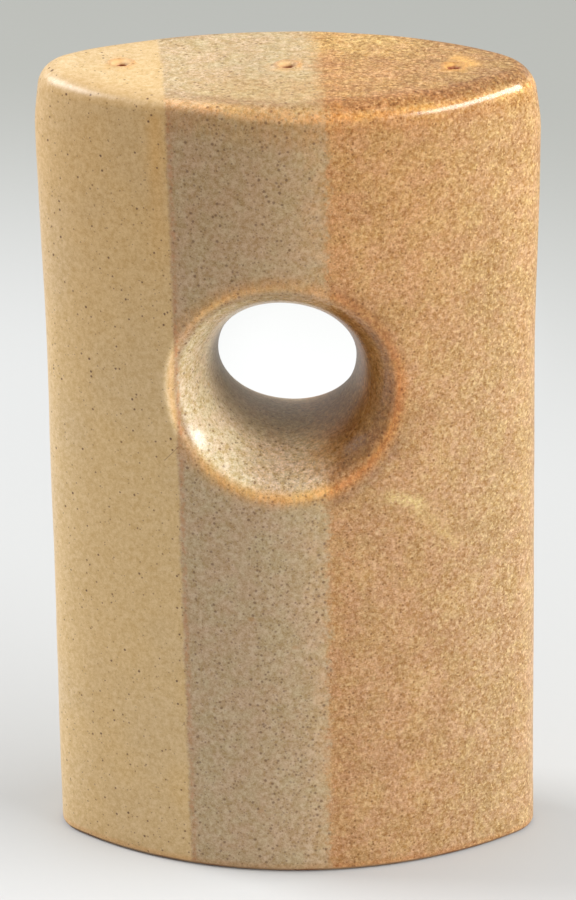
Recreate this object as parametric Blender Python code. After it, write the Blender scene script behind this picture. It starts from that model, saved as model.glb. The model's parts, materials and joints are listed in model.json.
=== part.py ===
"""A stoneware pepper shaker, taller than it is wide and lens-shaped in plan.

The body is one hollow casting with a flared finger tunnel right through it, three pouring
holes in the top and a filling hole in the base. A tapered cork closes the filling hole.

Origin: centre of the foot, on the table. X runs along the lens, Y through the tunnel, +Z up.
"""

import math
from collections import namedtuple

import bmesh
import bpy
from mathutils import Vector

MM = 0.001

# Outside of the body
HEIGHT = 108 * MM
LENGTH = 63.5 * MM  # along X, at the waist
THICKNESS = 31.4 * MM  # along Y, at the waist
END_RADIUS = 5.8 * MM  # plan radius of the two narrow ends
SHOULDER_FLARE = 0.7 * MM  # how far the wall leans out by the time it meets the top
FLARE_DEPTH = 46 * MM  # the wall starts to lean out this far below the top
RIM_RADIUS = 3 * MM  # rounding between wall and top

# Foot, a flat ring round a shallow recess
FOOT_RADIUS = 0.7 * MM  # rounding of the foot's outer edge
FOOT_WIDTH = 4 * MM
FOOT_INNER_EDGE = 0.5 * MM  # rounding of the foot's inner edge
FOOT_RECESS = 2.5 * MM
RECESS_END_RADIUS = 2.2 * MM

# Tunnel, a trumpet from each face to a throat in the middle
TUNNEL_DROP = 39.5 * MM  # from the top down to the tunnel's axis
THROAT_RADIUS = 9.05 * MM
LIP_RADIUS = 14.8 * MM
TRUMPET_POWER = 1.8  # 2 gives a round flare; less gives a straighter one with a crisper lip

# Chamber, the hollow inside
WALL = 4 * MM
END_WALL = 5 * MM  # the casting is thicker at the narrow ends
BASE_WALL = 4 * MM
CHAMBER_END_RADIUS = 2.6 * MM
CHAMBER_FILLET = 2 * MM
SLEEVE_FLARE = 4 * MM  # the tunnel's wall spreads by this much before it joins the chamber's wall

# Pouring holes, in a row along the top
POUR_COUNT = 3
POUR_PITCH = 21.2 * MM
POUR_RADIUS = 0.7 * MM
POUR_MOUTH_RADIUS = 1.5 * MM

# Filling hole and its cork
FILL_RADIUS = 7.5 * MM  # at the recess
FILL_TAPER = 0.09  # radius lost per unit of height
CORK_CLEARANCE = 0.3 * MM
CORK_LENGTH = 14 * MM
CORK_STANDOUT = 1.5 * MM  # left below the recess as a finger hold
CORK_EDGE = 0.6 * MM

# Glaze bands along X, cream, grey and rust, in the first three material slots
BAND_BORDERS = -15.4 * MM, 3.8 * MM
BAND_LEAN = 0.092  # how far a border strays along -X for each unit of Y

# How finely the surfaces are divided
Grain = namedtuple("Grain", "window_columns side_columns end_steps wall_rows "
                            "trumpet_steps collar_steps arc_steps")
BODY_GRAIN = Grain(window_columns=12, side_columns=3, end_steps=8, wall_rows=3,
                   trumpet_steps=16, collar_steps=2, arc_steps=4)
CHAMBER_GRAIN = Grain(window_columns=8, side_columns=2, end_steps=6, wall_rows=2,
                      trumpet_steps=10, collar_steps=1, arc_steps=2)
WINDOW_MARGIN = 1.25  # half side of the square patch round the tunnel, in lip radii
RIM_STEPS = 5
POUR_STEPS = 16
FILL_STEPS = 32
CUTTER_MARGIN = 1 * MM  # how far a cutter reaches past the wall that it cuts
SMOOTH_ANGLE = math.radians(35)

TUNNEL_HEIGHT = HEIGHT - TUNNEL_DROP
FLARE_START = HEIGHT - FLARE_DEPTH
FLOOR = FOOT_RECESS + BASE_WALL
CEILING = HEIGHT - WALL

Lens = namedtuple("Lens", "arc_radius arc_centre end_radius end_centre half_angle")


# Plan outline

def lens(length, thickness, end_radius):
    """Two wide arcs joined by two small end arcs, all tangent to each other."""
    end_centre = length / 2 - end_radius
    half = thickness / 2
    reach = end_centre**2 + half**2 - end_radius**2
    arc_radius = reach / (2 * (half - end_radius))
    arc_centre = arc_radius - half
    return Lens(arc_radius, arc_centre, end_radius, end_centre, math.atan2(end_centre, arc_centre))


def grown(shape, by):
    """The lens moved outwards by a distance, or inwards if it is negative."""
    return shape._replace(arc_radius=shape.arc_radius + by, end_radius=shape.end_radius + by)


def half_depth(shape, x):
    """Distance in Y from the middle plane to the wide arc, at x."""
    return math.sqrt(shape.arc_radius**2 - x**2) - shape.arc_centre


def outline(shape, shares, end_steps):
    """Points round the lens, anticlockwise from above, starting at the left of the front arc.

    Each share places a column on a wide arc: -1 and 1 are where it meets the ends.
    """
    front = []
    for share in shares:
        turn = share * shape.half_angle
        front.append((shape.arc_radius * math.sin(turn),
                      shape.arc_centre - shape.arc_radius * math.cos(turn)))
    right = []
    for step in range(1, end_steps):
        turn = shape.half_angle + (math.pi - 2 * shape.half_angle) * step / end_steps
        right.append((shape.end_centre + shape.end_radius * math.sin(turn),
                      -shape.end_radius * math.cos(turn)))
    return front + right + [(-x, -y) for x, y in front + right]


def column_shares(shape, window, grain):
    """Columns of a wide arc: even ones across the tunnel's window and even ones on either side."""
    edge = math.asin(window / shape.arc_radius) / shape.half_angle
    middle = [edge * (2 * i / grain.window_columns - 1) for i in range(grain.window_columns + 1)]
    side = [edge + (1 - edge) * i / grain.side_columns for i in range(1, grain.side_columns + 1)]
    return [-share for share in reversed(side)] + middle + side


# Vertical section

def flare(z):
    """How far the wall stands outside the waist at a height."""
    share = min(max((z - FLARE_START) / FLARE_DEPTH, 0), 1)
    return SHOULDER_FLARE * share * share * (3 - 2 * share)


def quarter_arc(radius, steps):
    """(across, up) from the tangent point beside the centre to the one above it."""
    turns = [math.pi / 2 * i / steps for i in range(steps + 1)]
    return [(radius * math.cos(turn), radius * math.sin(turn)) for turn in turns]


def wall_heights(low, high, window, grain):
    """Heights of the wall's rows: even ones across the tunnel's window, and some below and above."""
    bottom, top = TUNNEL_HEIGHT - window, TUNNEL_HEIGHT + window
    below = [low + (bottom - low) * i / grain.wall_rows for i in range(grain.wall_rows)]
    across = [bottom + (top - bottom) * i / grain.window_columns for i in range(grain.window_columns)]
    above = [top + (high - top) * i / grain.wall_rows for i in range(grain.wall_rows + 1)]
    return below + across + above


# Lofted solid with a tunnel

def window_border(loops, first_row, columns):
    """The square border of a missing patch of wall, anticlockwise as its outer face shows it."""
    rows = range(first_row, first_row + len(columns))
    low, high = rows[0], rows[-1]
    left, right = columns[0], columns[-1]
    return ([loops[low][c] for c in columns[:-1]] + [loops[r][right] for r in rows[:-1]]
            + [loops[high][c] for c in reversed(columns[1:])]
            + [loops[r][left] for r in reversed(rows[1:])])


def tunnel_rings(bm, border_front, border_back, section, throat, lip, grain):
    """Rings from the front window through the throat to the back window."""
    count = len(border_front)
    turns = [2 * math.pi * k / count - 3 * math.pi / 4 for k in range(count)]
    lips = [Vector((lip * math.cos(t), TUNNEL_HEIGHT + lip * math.sin(t))) for t in turns]

    def collar(border, side):
        rings = []
        for step in range(1, grain.collar_steps + 1):
            flat = [Vector((v.co.x, v.co.z)).lerp(end, step / grain.collar_steps)
                    for v, end in zip(border, lips)]
            rings.append([bm.verts.new((x, side * half_depth(section(z), x), z)) for x, z in flat])
        return rings

    trumpet = []
    for step in range(1, grain.trumpet_steps):
        turn = math.pi * step / grain.trumpet_steps
        share = -math.cos(turn)
        widening = 1 - (1 - abs(share) ** TRUMPET_POWER) ** (1 / TRUMPET_POWER)
        radius = throat + (lip - throat) * widening
        ring = []
        for t, (x, z) in zip(turns, lips):
            depth = half_depth(section(z), x) * share
            ring.append(bm.verts.new((radius * math.cos(t), depth, TUNNEL_HEIGHT + radius * math.sin(t))))
        trumpet.append(ring)
    front, back = collar(border_front, -1), collar(border_back, 1)
    return [border_front] + front + trumpet + back[::-1] + [border_back]


def bridge(bm, first, second):
    """Quads between two rings of as many points each."""
    count = len(first)
    for i in range(count):
        k = (i + 1) % count
        bm.faces.new((first[i], first[k], second[k], second[i]))


def lens_solid(section, low, high, foot_rings, rim_rings, throat, lip, grain, foot_slot=0):
    """A bmesh lofted from horizontal sections, each (lens, z), with the tunnel through its wall.

    Faces of the foot, which is all that lies below the wall, take the material in foot_slot.
    """
    bm = bmesh.new()
    window = lip * WINDOW_MARGIN
    shares = column_shares(section(TUNNEL_HEIGHT), window, grain)
    walls = [(section(z), z) for z in wall_heights(low, high, window, grain)]
    loops = []
    for shape, z in foot_rings + walls + rim_rings:
        loops.append([bm.verts.new((x, y, z)) for x, y in outline(shape, shares, grain.end_steps)])
    per_loop = len(loops[0])
    first_row = len(foot_rings) + grain.wall_rows
    rows = range(first_row, first_row + grain.window_columns)
    front = list(range(grain.side_columns, grain.side_columns + grain.window_columns + 1))
    back = [c + per_loop // 2 for c in reversed(front)]
    open_columns = set(front[:-1]) | set(sorted(back)[:-1])
    for row, (below, above) in enumerate(zip(loops, loops[1:])):
        for i in range(per_loop):
            if row in rows and i in open_columns:
                continue
            k = (i + 1) % per_loop
            face = bm.faces.new((below[i], below[k], above[k], above[i]))
            if row < len(foot_rings):
                face.material_index = foot_slot
    bm.faces.new(reversed(loops[0])).material_index = foot_slot
    bm.faces.new(loops[-1])
    borders = window_border(loops, first_row, front), window_border(loops, first_row, back)
    rings = tunnel_rings(bm, *borders, section, throat, lip, grain)
    for first, second in zip(rings, rings[1:]):
        bridge(bm, first, second)
    return bm


def turned(profile, steps):
    """A bmesh turned about Z from (radius, z) points that run upwards."""
    bm = bmesh.new()
    rings = []
    for radius, z in profile:
        turns = [2 * math.pi * i / steps for i in range(steps)]
        rings.append([bm.verts.new((radius * math.cos(t), radius * math.sin(t), z)) for t in turns])
    for first, second in zip(rings, rings[1:]):
        bridge(bm, first, second)
    bm.faces.new(reversed(rings[0]))
    bm.faces.new(rings[-1])
    return bm


# Materials and objects

def finish(name, colour, roughness):
    material = bpy.data.materials.new(name)
    material.use_nodes = True
    shader = material.node_tree.nodes["Principled BSDF"]
    shader.inputs["Base Color"].default_value = (*colour, 1)
    shader.inputs["Roughness"].default_value = roughness
    shader.inputs["Metallic"].default_value = 0
    material.diffuse_color = (*colour, 1)
    return material


def placed(name, bm, materials, parent, location=(0, 0, 0)):
    """An object made from the bmesh, shaded smooth except at sharp edges."""
    mesh = bpy.data.meshes.new(name)
    bm.to_mesh(mesh)
    bm.free()
    mesh.shade_smooth()
    mesh.set_sharp_from_angle(angle=SMOOTH_ANGLE)
    for material in materials:
        mesh.materials.append(material)
    obj = bpy.data.objects.new(name, mesh)
    bpy.context.scene.collection.objects.link(obj)
    obj.parent = parent
    obj.location = location
    return obj


def cut(obj, name, bm, material, location=(0, 0, 0)):
    """Takes the bmesh's solid away from obj with a Boolean."""
    cutter = placed(name, bm, [material], obj.parent, location)
    cutter.hide_render = True
    cutter.display_type = "WIRE"
    boolean = obj.modifiers.new(name, "BOOLEAN")
    boolean.operation = "DIFFERENCE"
    boolean.object = cutter
    boolean.material_mode = "TRANSFER"


# Pieces

def body_solid():
    """The casting's outside: foot, wall, rim and tunnel."""
    waist = lens(LENGTH, THICKNESS, END_RADIUS)
    recess = lens(LENGTH - 2 * FOOT_WIDTH, THICKNESS - 2 * FOOT_WIDTH, RECESS_END_RADIUS)
    top = grown(waist, SHOULDER_FLARE)
    rim = min(RIM_RADIUS, 0.9 * top.end_radius)
    foot_rings = [(recess, FOOT_RECESS)]
    for across, up in quarter_arc(FOOT_INNER_EDGE, BODY_GRAIN.arc_steps):
        foot_rings.append((grown(recess, FOOT_INNER_EDGE - across), FOOT_INNER_EDGE - up))
    for across, up in reversed(quarter_arc(FOOT_RADIUS, BODY_GRAIN.arc_steps)[1:]):
        foot_rings.append((grown(waist, across - FOOT_RADIUS), FOOT_RADIUS - up))
    rim_rings = []
    for across, up in quarter_arc(rim, RIM_STEPS)[1:]:
        rim_rings.append((grown(top, across - rim), HEIGHT - rim + up))

    def section(z):
        return grown(waist, flare(z))

    return lens_solid(section, FOOT_RADIUS, HEIGHT - rim, foot_rings, rim_rings,
                      THROAT_RADIUS, LIP_RADIUS, BODY_GRAIN, bare_slot())


def chamber_solid():
    """The hollow inside the casting, which wraps round the tunnel's wall."""
    hollow = lens(LENGTH - 2 * END_WALL, THICKNESS - 2 * WALL, CHAMBER_END_RADIUS)
    arc = quarter_arc(CHAMBER_FILLET, CHAMBER_GRAIN.arc_steps)
    foot_rings, rim_rings = [], []
    for across, up in reversed(arc[1:]):
        foot_rings.append((grown(hollow, across - CHAMBER_FILLET), FLOOR + CHAMBER_FILLET - up))
    high = CEILING - CHAMBER_FILLET
    for across, up in arc[1:]:
        rim_rings.append((grown(hollow, flare(high) + across - CHAMBER_FILLET), high + up))

    def section(z):
        return grown(hollow, flare(z))

    sleeve = THROAT_RADIUS + WALL
    return lens_solid(section, FLOOR + CHAMBER_FILLET, high, foot_rings, rim_rings,
                      sleeve, sleeve + SLEEVE_FLARE, CHAMBER_GRAIN)


def fill_radius(z):
    """Radius of the tapered filling hole at a height."""
    return FILL_RADIUS - FILL_TAPER * (z - FOOT_RECESS)


def fill_hole_solid():
    low, high = FOOT_RECESS - CUTTER_MARGIN, FLOOR + CUTTER_MARGIN
    return turned([(fill_radius(low), low), (fill_radius(high), high)], FILL_STEPS)


def pour_hole_solid():
    """A pouring hole with its countersunk mouth, standing on z = 0 at the body's top face."""
    sink = POUR_MOUTH_RADIUS - POUR_RADIUS
    return turned([(POUR_RADIUS, -WALL - CUTTER_MARGIN), (POUR_RADIUS, -sink),
                   (POUR_MOUTH_RADIUS, 0), (POUR_MOUTH_RADIUS + CUTTER_MARGIN, CUTTER_MARGIN)],
                  POUR_STEPS)


def cork_solid(bottom):
    """The cork, standing on z = 0, which fits the filling hole when its foot is at bottom."""
    def radius(z):
        return fill_radius(bottom + z) - CORK_CLEARANCE

    top = CORK_LENGTH
    return turned([(radius(0) - CORK_EDGE, 0), (radius(CORK_EDGE), CORK_EDGE),
                   (radius(top - CORK_EDGE), top - CORK_EDGE), (radius(top) - CORK_EDGE, top)],
                  FILL_STEPS)


def bare_slot():
    """The material slot of bare clay, after those of the glazes."""
    return len(BAND_BORDERS) + 1


def paint_bands(bm):
    """Splits the outside at the borders of the glaze bands and paints each band, apart from the bare foot."""
    across = Vector((1, BAND_LEAN, 0))
    for border in BAND_BORDERS:
        geometry = bm.verts[:] + bm.edges[:] + bm.faces[:]
        bmesh.ops.bisect_plane(bm, geom=geometry, plane_co=(border, 0, 0), plane_no=across)
    for face in bm.faces:
        if face.material_index != bare_slot():
            place = across.dot(face.calc_center_median())
            face.material_index = sum(place > border for border in BAND_BORDERS)


def build():
    for old in list(bpy.data.objects):
        bpy.data.objects.remove(old)
    root = bpy.data.objects.new("pepper_shaker", None)
    bpy.context.scene.collection.objects.link(root)

    clay = finish("bare_stoneware", (0.40, 0.25, 0.14), 0.85)
    glazes = [finish("cream_glaze", (0.52, 0.35, 0.16), 0.45),
              finish("grey_glaze", (0.37, 0.28, 0.17), 0.45),
              finish("rust_glaze", (0.45, 0.24, 0.09), 0.45)]
    cork_bark = finish("cork_bark", (0.52, 0.33, 0.17), 0.9)

    outside = body_solid()
    paint_bands(outside)
    body = placed("stoneware_body", outside, [*glazes, clay], root)
    cut(body, "chamber_cutter", chamber_solid(), clay)
    cut(body, "filling_hole_cutter", fill_hole_solid(), clay)
    for number in range(POUR_COUNT):
        x = POUR_PITCH * (number - (POUR_COUNT - 1) / 2)
        cut(body, f"pouring_hole_cutter_{number + 1}", pour_hole_solid(), clay, (x, 0, HEIGHT))

    cork_bottom = FOOT_RECESS - CORK_STANDOUT
    placed("cork_stopper", cork_solid(cork_bottom), [cork_bark], root, (0, 0, cork_bottom))


build()
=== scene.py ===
"""Looks of a banded stoneware pepper shaker: its glazed casting, its cork and the table it stands on."""

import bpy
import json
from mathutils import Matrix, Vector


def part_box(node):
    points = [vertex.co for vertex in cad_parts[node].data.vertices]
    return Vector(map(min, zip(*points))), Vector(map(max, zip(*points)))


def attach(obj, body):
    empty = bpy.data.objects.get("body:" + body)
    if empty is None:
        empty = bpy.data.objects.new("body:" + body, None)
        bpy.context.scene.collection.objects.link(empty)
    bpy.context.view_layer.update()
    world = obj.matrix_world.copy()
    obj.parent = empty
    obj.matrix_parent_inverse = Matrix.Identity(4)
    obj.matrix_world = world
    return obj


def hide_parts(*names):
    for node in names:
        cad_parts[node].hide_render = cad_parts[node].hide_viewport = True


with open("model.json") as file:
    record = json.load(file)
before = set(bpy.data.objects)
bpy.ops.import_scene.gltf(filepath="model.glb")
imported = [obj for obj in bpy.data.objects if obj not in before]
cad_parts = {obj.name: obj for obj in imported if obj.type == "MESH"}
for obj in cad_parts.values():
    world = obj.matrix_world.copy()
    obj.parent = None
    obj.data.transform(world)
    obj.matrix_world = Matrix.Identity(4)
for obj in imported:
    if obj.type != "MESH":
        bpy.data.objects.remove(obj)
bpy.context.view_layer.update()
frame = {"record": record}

import copy
import itertools
import json
import math
from collections import namedtuple

import bmesh
import bpy
from bpy.props import FloatProperty, FloatVectorProperty, PointerProperty
from mathutils import Matrix, Vector, noise

bl_info = {
    "name": "Banded stoneware pepper shaker",
    "version": (1, 0, 0),
    "blender": (4, 5, 0),
    "location": "3D View > Sidebar > Shaker",
    "description": "Models a lens-shaped stoneware shaker with dipped glaze bands, its cork and a table top",
    "category": "Add Mesh",
}

MM = 0.001
TO_MM = 1000
BODY_NODE, CORK_NODE = "stoneware_body", "cork_stopper"
BODY_LOW, BODY_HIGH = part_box(BODY_NODE)
CORK_LOW, CORK_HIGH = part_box(CORK_NODE)


def opening_middle(name):
    """Centre of one of the record's openings."""
    boxes = {each["name"]: each["box_m"] for each in frame["record"]["physics"]["openings"]}
    low, high = boxes[name]
    return (Vector(low) + Vector(high)) / 2


def tone(red, green, blue):
    """A display colour, 0 to 255 a channel, as the linear values that shaders take."""
    shares = [channel / 255 for channel in (red, green, blue)]
    return [share / 12.92 if share <= 0.04045 else ((share + 0.055) / 1.055) ** 2.4 for share in shares]


def lifted(linear, by):
    """A linear colour made lighter, or darker, by about the same step on each display channel."""
    shares = [1.055 * share ** (1 / 2.4) - 0.055 for share in linear]
    steps = by * 0.9, by * 1.05, by * 1.4
    return tone(*(min(max(share * 255 + step, 8), 255) for share, step in zip(shares, steps)))


def size(name, description, default):
    return FloatProperty(name=name, description=description, default=default, unit="LENGTH", precision=5)


def colour(name, description, red, green, blue):
    return FloatVectorProperty(name=name, description=description, default=tone(red, green, blue),
                               subtype="COLOR", size=3, min=0, max=1)


def lamp_power(name, description, default):
    return FloatProperty(name=name, description=description, default=default, unit="POWER")


class ShakerSizes(bpy.types.PropertyGroup):
    """Sizes of the casting and of the cork."""

    shoulder_flare: size("Shoulder flare", "How far the wall leans out at the top", 0.7 * MM)
    flare_depth: size("Flare depth", "How far below the top the wall starts to lean out", 46 * MM)
    end_radius: size("End radius", "Plan radius of the narrow ends, at the waist", 5.8 * MM)
    rim_front: size("Front rim", "Rounding between the front wall and the top, at the cream end", 1.5 * MM)
    rim_rust: size("Rust rim", "Rounding between the front wall and the top, at the rust end", 3 * MM)
    rim_back: size("Back rim", "Rounding between the back wall and the top", 4.85 * MM)
    rim_end: size("End rim", "Rounding between the narrow ends and the top", 2.85 * MM)
    end_pinch: size("End pinch", "How far the narrow ends lean in again just below the top", 0.78 * MM)
    foot_radius: size("Foot radius", "Rounding of the foot's outer edge", 0.7 * MM)
    foot_width: size("Foot width", "Width of the ring that the shaker stands on", 4 * MM)
    foot_recess: size("Foot recess", "Depth of the recess inside the foot", 2.5 * MM)
    wall: size("Wall", "Thickness of the casting", 4 * MM)
    end_wall: size("End wall", "Thickness of the casting at the narrow ends", 5 * MM)
    throat_radius: size("Throat radius", "Radius in the middle of the tunnel", 9.05 * MM)
    lip_radius: size("Lip radius", "Radius of the tunnel where it meets the wall", 14.8 * MM)
    pour_pitch: size("Pouring pitch", "Distance between pouring holes", 21.2 * MM)
    pour_radius: size("Pouring radius", "Radius of a pouring hole below its crater", 0.68 * MM)
    crater_radius: size("Crater radius", "Radius of the poked crater round a pouring hole", 1.5 * MM)
    fill_radius: size("Filling radius", "Radius of the filling hole in the base", 7.5 * MM)
    cork_clearance: size("Cork clearance", "Gap between cork and filling hole", 0.3 * MM)
    wobble: size("Hand wobble", "How far the hand-finished wall strays from its true form", 0.12 * MM)
    cream_lift: size("Cream lift", "How much the cream end of the top has warped up in drying", 0.48 * MM)
    rust_drop: size("Rust drop", "How much the rust end of the top has sagged in drying", 0.46 * MM)


class GlazeColours(bpy.types.PropertyGroup):
    """Colours of the glazes, the clay and the cork."""

    cream: colour("Cream", "Cream glaze", 196, 164, 114)
    cream_warm: colour("Warm cream", "Cream glaze where it lies thin", 199, 165, 111)
    grey: colour("Grey", "Grey glaze", 174, 145, 107)
    grey_pale: colour("Pale grey", "Pale curdling in the grey glaze", 206, 180, 144)
    rust: colour("Rust", "Rust glaze", 192, 146, 93)
    rust_gold: colour("Gold", "Golden crystals in the rust glaze", 231, 198, 146)
    rust_red: colour("Red rust", "Rust glaze where it lies thick and turns purplish", 164, 119, 67)
    rust_brown: colour("Brown rust", "Brown pits in the rust glaze", 128, 84, 34)
    speck: colour("Speck", "Iron specks that burn through the glaze", 84, 44, 0)
    breaking: colour("Breaking", "Orange where glaze breaks over an edge", 198, 136, 76)
    honey: colour("Honey", "Golden glaze that pools just below an edge", 234, 178, 98)
    border: colour("Border", "Reddish line where the cream overlaps the grey", 176, 124, 80)
    clay: colour("Clay", "Bare stoneware", 168, 134, 98)
    clay_toast: colour("Toasted clay", "Bare stoneware that the flame has browned", 142, 96, 60)
    pale_clay: colour("Pale clay", "Thin glaze on the poked craters", 240, 194, 134)
    # Painted highlight: a lilac reflection low on the right in the tunnel, put into the glaze as a colour
    pool: colour("Funnel highlight", "Lilac glaze that has pooled at the bottom right of the tunnel", 186, 170, 166)
    # Painted shade deep in the pouring holes, over their bare clay
    deep_hole_shade: colour("Hole shade", "Bare clay deep in the pouring holes", 150, 78, 28)
    cork: colour("Cork", "Cork", 196, 154, 106)
    cork_dark: colour("Dark cork", "Pores of the cork", 92, 60, 36)


class StageLook(bpy.types.PropertyGroup):
    """The table top and its light."""

    floor: colour("Floor", "Table top in front of the shaker", 203, 204, 204)
    floor_far: colour("Far floor", "Table top where the light has fallen off", 161, 162, 157)
    near_edge: size("Near edge", "Distance at which the table starts to darken", 150 * MM)
    far_edge: size("Far edge", "Distance at which the table is darkest", 300 * MM)
    sky: FloatProperty(name="Sky", description="Strength of the even light all round", default=0.62)
    right_power: lamp_power("Right lamp", "Power of the right softbox", 7.4)
    left_power: lamp_power("Left lamp", "Power of the left softbox", 5)


# Shader wiring

class Wire:
    """An output socket in a node tree that can be used in expressions."""

    def __init__(self, tree, socket=None):
        self.tree = tree
        self.socket = socket

    def node(self, kind, settings=None, sockets=None, out=0):
        """Adds a node: its settings first, then a number, colour or wire for each named socket."""
        node = self.tree.nodes.new("ShaderNode" + kind)
        for name, value in (settings or {}).items():
            setattr(node, name, value)
        for name, value in (sockets or {}).items():
            if isinstance(value, Wire):
                self.tree.links.new(value.socket, node.inputs[name])
            elif hasattr(value, "__len__") and len(value) < len(node.inputs[name].default_value):
                node.inputs[name].default_value = (*value, 1)
            else:
                node.inputs[name].default_value = value
        return Wire(self.tree, node.outputs[out])

    def also(self, out):
        """Another output of the same node."""
        return Wire(self.tree, self.socket.node.outputs[out])

    def math(self, operation, *values):
        return self.node("Math", {"operation": operation}, dict(enumerate(values)))

    def vector(self, operation, other, out=0):
        return self.node("VectorMath", {"operation": operation}, {0: self, 1: other}, out)

    def __add__(self, other):
        return self.math("ADD", self, other)

    __radd__ = __add__

    def __mul__(self, other):
        return self.math("MULTIPLY", self, other)

    __rmul__ = __mul__

    def __sub__(self, other):
        return self.math("SUBTRACT", self, other)

    def __rsub__(self, other):
        return self.math("SUBTRACT", other, self)

    def __truediv__(self, other):
        return self.math("DIVIDE", self, other)

    def __pow__(self, other):
        return self.math("POWER", self, other)

    def __lt__(self, other):
        return self.math("LESS_THAN", self, other)

    def __abs__(self):
        return self.math("ABSOLUTE", self)

    def most(self, other):
        return self.math("MAXIMUM", self, other)

    def clamped(self, low=0):
        """This value kept between low and 1."""
        return self.node("Clamp", None, {"Value": self, "Min": low})

    def reach(self, other):
        """Length of the diagonal of two values."""
        return (self * self + other * other) ** 0.5

    def step(self, low, high):
        """0 at low and 1 at high, smooth between them. High may be the smaller one."""
        return self.node("MapRange", {"interpolation_type": "SMOOTHSTEP"},
                         {"Value": self, "From Min": low, "From Max": high})

    def bell(self, middle, half_width):
        """1 at the middle, falling smoothly to 0 at about twice the half width."""
        away = (self - middle) / half_width
        return self.math("EXPONENT", away * away * -1)

    def mix(self, first, second):
        """From the first colour to the second, by this share, which counts from 0 to 1."""
        return self.node("Mix", {"data_type": "RGBA"}, {0: self, 6: first, 7: second}, out=2)

    def blend(self, first, second):
        """From the first value to the second, by this share, which counts from 0 to 1."""
        return self.node("Mix", None, {0: self, 2: first, 3: second})

    def scaled(self, share):
        """A colour or vector times a number or a value."""
        return self.node("VectorMath", {"operation": "SCALE"}, {0: self, "Scale": share})

    def shifted(self, by):
        return self.vector("ADD", by)

    def stretched(self, by):
        return self.vector("MULTIPLY", by)

    def distance(self, point):
        return self.vector("DISTANCE", point, out=1)

    def tinted(self, share, tint):
        """A colour that is multiplied by a tint where the share is 1."""
        return share.mix(self, self.stretched(tint))

    def axes(self):
        """The three parts of a vector."""
        parts = self.node("SeparateXYZ", None, {0: self})
        return parts, parts.also(1), parts.also(2)

    def noise(self, scale, detail=2, rough=0.5):
        """Cloudy noise from 0 to 1 about 0.5, at this vector, in features per unit."""
        return self.node("TexNoise", None,
                         {"Vector": self, "Scale": scale, "Detail": detail, "Roughness": rough})

    def grain(self, scale, gain=3.6):
        """Fine grain from 0 to 1 with as much of its strength in the small grains as in the large ones."""
        return ((self.noise(scale, 3, 0.95) - 0.5) * gain + 0.5).clamped()

    def specks(self, scale, radius, share, soft=0.35):
        """Uneven specks, one to a cell: their radius in units, and the share of cells that hold one."""
        cell = self.node("TexVoronoi", None, {"Vector": self, "Scale": scale})
        chance, grade, _ = cell.also("Color").axes()
        reach = (0.45 + grade * 0.75) * (radius * scale)
        ragged = cell * (0.6 + self.noise(scale * 4) * 0.8)
        spot = ((ragged - reach * soft) / (reach * (1 - soft))).step(1, 0)
        return spot * (chance < share) * (0.6 + grade * 0.4)


def new_material(name):
    """A material with a Principled shader: returns it, its shader and a wire to start from."""
    material = bpy.data.materials.new(name)
    material.use_nodes = True
    shader = material.node_tree.nodes["Principled BSDF"]
    return material, shader, Wire(material.node_tree)


def feed(shader, name, wire):
    wire.tree.links.new(wire.socket, shader.inputs[name])


def roughen(shader, height, strength, depth):
    """Bumps on the surface: a height of 1 stands out by the depth."""
    bump = height.node("Bump", None, {"Strength": strength, "Distance": depth, "Height": height})
    feed(shader, "Normal", bump)


def millimetres(wire):
    """Position on the piece, in millimetres."""
    return wire.node("TexCoord", out="Object").scaled(TO_MM)


# Glazes

CREAM_BORDER = (-15.4, -0.0923, -0.0099)  # x in mm at mid height, and its lean along y and z
RUST_BORDER = (3.8, -0.0924, 0.0087)
MID_HEIGHT = BODY_HIGH.z / 2 * TO_MM
TOP_HEIGHT = BODY_HIGH.z * TO_MM
LIP_SHADE_GAP = 68  # height in mm at which the painted shade round the lip is interrupted
Bands = namedtuple("Bands", "cream grey rust")  # the share of each glaze at a point

# Marks of this one shaker, and the place of a painted highlight in its tunnel, in mm
SCRATCH = Vector((-15.9, -12.8, 58.5)), Vector((-14.1, -13.4, 60.6))
GOLD_SMEAR = Vector((13.4, -13.6, 53.6)), Vector((16.6, -12.6, 52.6))
GOLD_TAIL = Vector((16.6, -12.6, 51.6)), Vector((21.6, -10.2, 45.6))
GOLD_PATCH = Vector((22, 2.2, 108)), Vector((23.6, 0.2, 108))
# Where a painted highlight, a lilac reflection, lies low on the right in the tunnel
FUNNEL_HIGHLIGHT = Vector((8, -12.4, 59.6)), Vector((9.6, -12.4, 61.2))
RIM_CHIP = Vector((-29.7, -2.1, 107.9))


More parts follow.
